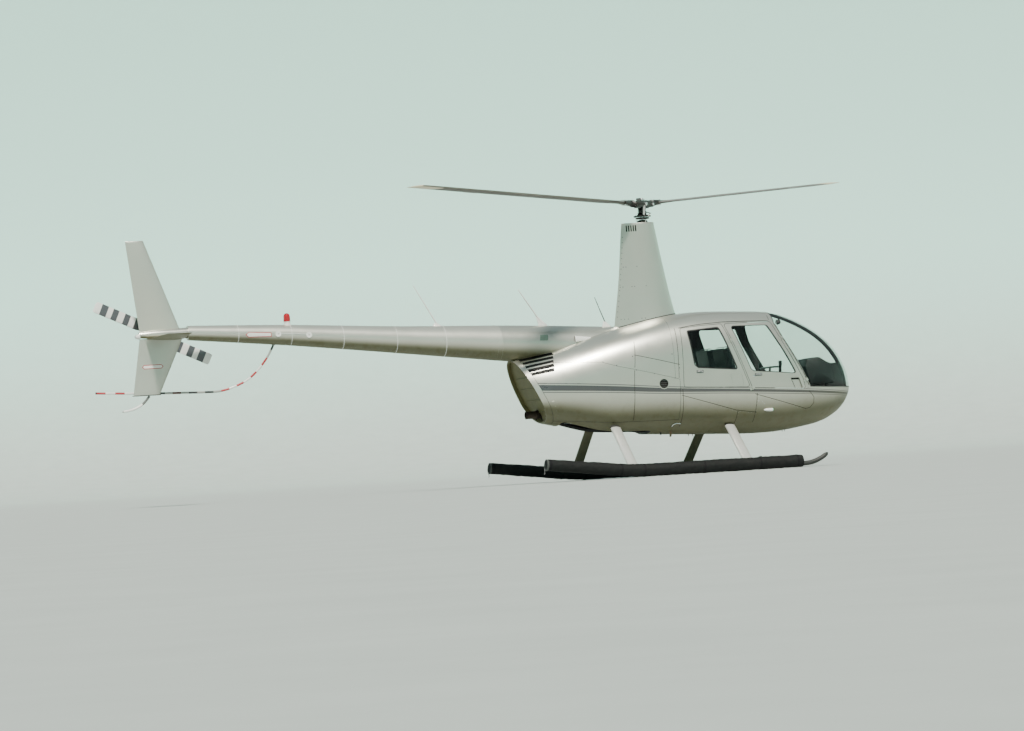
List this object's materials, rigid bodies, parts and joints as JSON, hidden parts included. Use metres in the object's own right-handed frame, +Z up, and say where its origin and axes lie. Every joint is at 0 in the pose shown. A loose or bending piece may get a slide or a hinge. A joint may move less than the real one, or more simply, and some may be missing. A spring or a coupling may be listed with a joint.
{
  "type": "light four-seat helicopter on skids",
  "caption": "Light piston helicopter: glazed cabin with hinged doors, teetering main rotor, slim tailcone, fins, tail rotor and skids with stowed float packs.",
  "frame": {"origin": "on the ground, at the middle of the whole outline's footprint, rotor blades included", "axes": "+X to the nose, +Y to port, +Z up"},
  "size_m": [10.4706, 6.8188, 3.5507],
  "materials": {
    "skin_silver": "satin",
    "fairing_silver": "satin",
    "cabin_glass": "gloss",
    "cabin_trim": "matte",
    "cabin_panel": "matte",
    "seat_fabric": "matte",
    "console_plastic": "matte",
    "control_metal": "satin",
    "engine_metal": "matte",
    "exhaust_steel": "matte",
    "gear_paint": "satin",
    "float_fabric": "matte",
    "rotor_steel": "satin",
    "blade_paint": "matte",
    "tail_blade_paint": "gloss",
    "guard_paint": "satin",
    "beacon_red": "gloss",
    "lamp_white": "gloss",
    "antenna_white": "satin",
    "antenna_dark": "satin",
    "gearbox_metal": "satin"
  },
  "bodies": {
    "airframe": {"windshield_left": "cabin_glass", "windshield_right": "cabin_glass", "engine_cowl_left": "skin_silver", "engine_cowl_right": "skin_silver", "rear_cowl": "skin_silver", "cabin_top": "skin_silver", "aft_deck": "skin_silver", "belly_hull": "skin_silver", "cabin_floor": "cabin_trim", "firewall": "cabin_panel", "front_seat_left": "seat_fabric", "rear_seat_left": "seat_fabric", "front_seat_right": "seat_fabric", "rear_seat_right": "seat_fabric", "instrument_console": "console_plastic", "cyclic_stick": "control_metal", "pedals_left": "control_metal", "pedals_right": "control_metal", "engine_block": "engine_metal", "tailpipe": "exhaust_steel", "mast_fairing": "fairing_silver", "spine_fairing": "fairing_silver", "tailcone": "skin_silver", "upper_fin": "skin_silver", "lower_fin": "skin_silver", "tail_gearbox": "gearbox_metal", "horizontal_stabilizer": "skin_silver", "tail_guard": "guard_paint", "tail_skid": "guard_paint", "beacon": "beacon_red", "tail_light": "lamp_white", "rear_antenna": "antenna_white", "middle_antenna": "antenna_white", "front_antenna": "antenna_dark", "skid_left": "gear_paint", "float_pack_left": "float_fabric", "skid_right": "gear_paint", "float_pack_right": "float_fabric"},
    "main_rotor": {"rotor_hub": "rotor_steel", "main_blade_near": "blade_paint", "main_blade_far": "blade_paint", "swashplate": "rotor_steel"},
    "tail_rotor": {"tail_rotor_hub": "rotor_steel", "tail_blade_aft": "tail_blade_paint", "tail_blade_front": "tail_blade_paint"},
    "front_door_left_body": {"front_door_left": "skin_silver", "front_window_left": "cabin_glass"},
    "front_door_right_body": {"front_door_right": "skin_silver", "front_window_right": "cabin_glass"},
    "rear_door_left_body": {"rear_door_left": "skin_silver", "rear_window_left": "cabin_glass"},
    "rear_door_right_body": {"rear_door_right": "skin_silver", "rear_window_right": "cabin_glass"}
  },
  "joints": [
    {"name": "main_rotor_spin", "type": "hinge", "parent": "airframe", "child": "main_rotor", "pos_m": [1.4054, 0, 3.19], "axis": [0, 0, 1], "continuous": true},
    {"name": "tail_rotor_spin", "type": "hinge", "parent": "airframe", "child": "tail_rotor", "pos_m": [-4.4876, 0.272, 1.976], "axis": [0, 1, 0], "continuous": true},
    {"name": "front_door_left_hinge", "type": "hinge", "parent": "airframe", "child": "front_door_left_body", "pos_m": [2.9639, 0.5855, 1.2685], "axis": [0.4779, 0.0224, -0.8781], "range_deg": [0, 75]},
    {"name": "front_door_right_hinge", "type": "hinge", "parent": "airframe", "child": "front_door_right_body", "pos_m": [2.9639, -0.5855, 1.2685], "axis": [-0.4779, 0.0224, 0.8781], "range_deg": [0, 75]},
    {"name": "rear_door_left_hinge", "type": "hinge", "parent": "airframe", "child": "rear_door_left_body", "pos_m": [2.2899, 0.6345, 1.238], "axis": [0.3736, 0.0408, -0.9267], "range_deg": [0, 75]},
    {"name": "rear_door_right_hinge", "type": "hinge", "parent": "airframe", "child": "rear_door_right_body", "pos_m": [2.2899, -0.6345, 1.238], "axis": [-0.3736, 0.0408, 0.9267], "range_deg": [0, 75]}
  ],
  "couplings": [
    {"joint": "tail_rotor_spin", "follows": "main_rotor_spin", "ratio": -5.95}
  ]
}
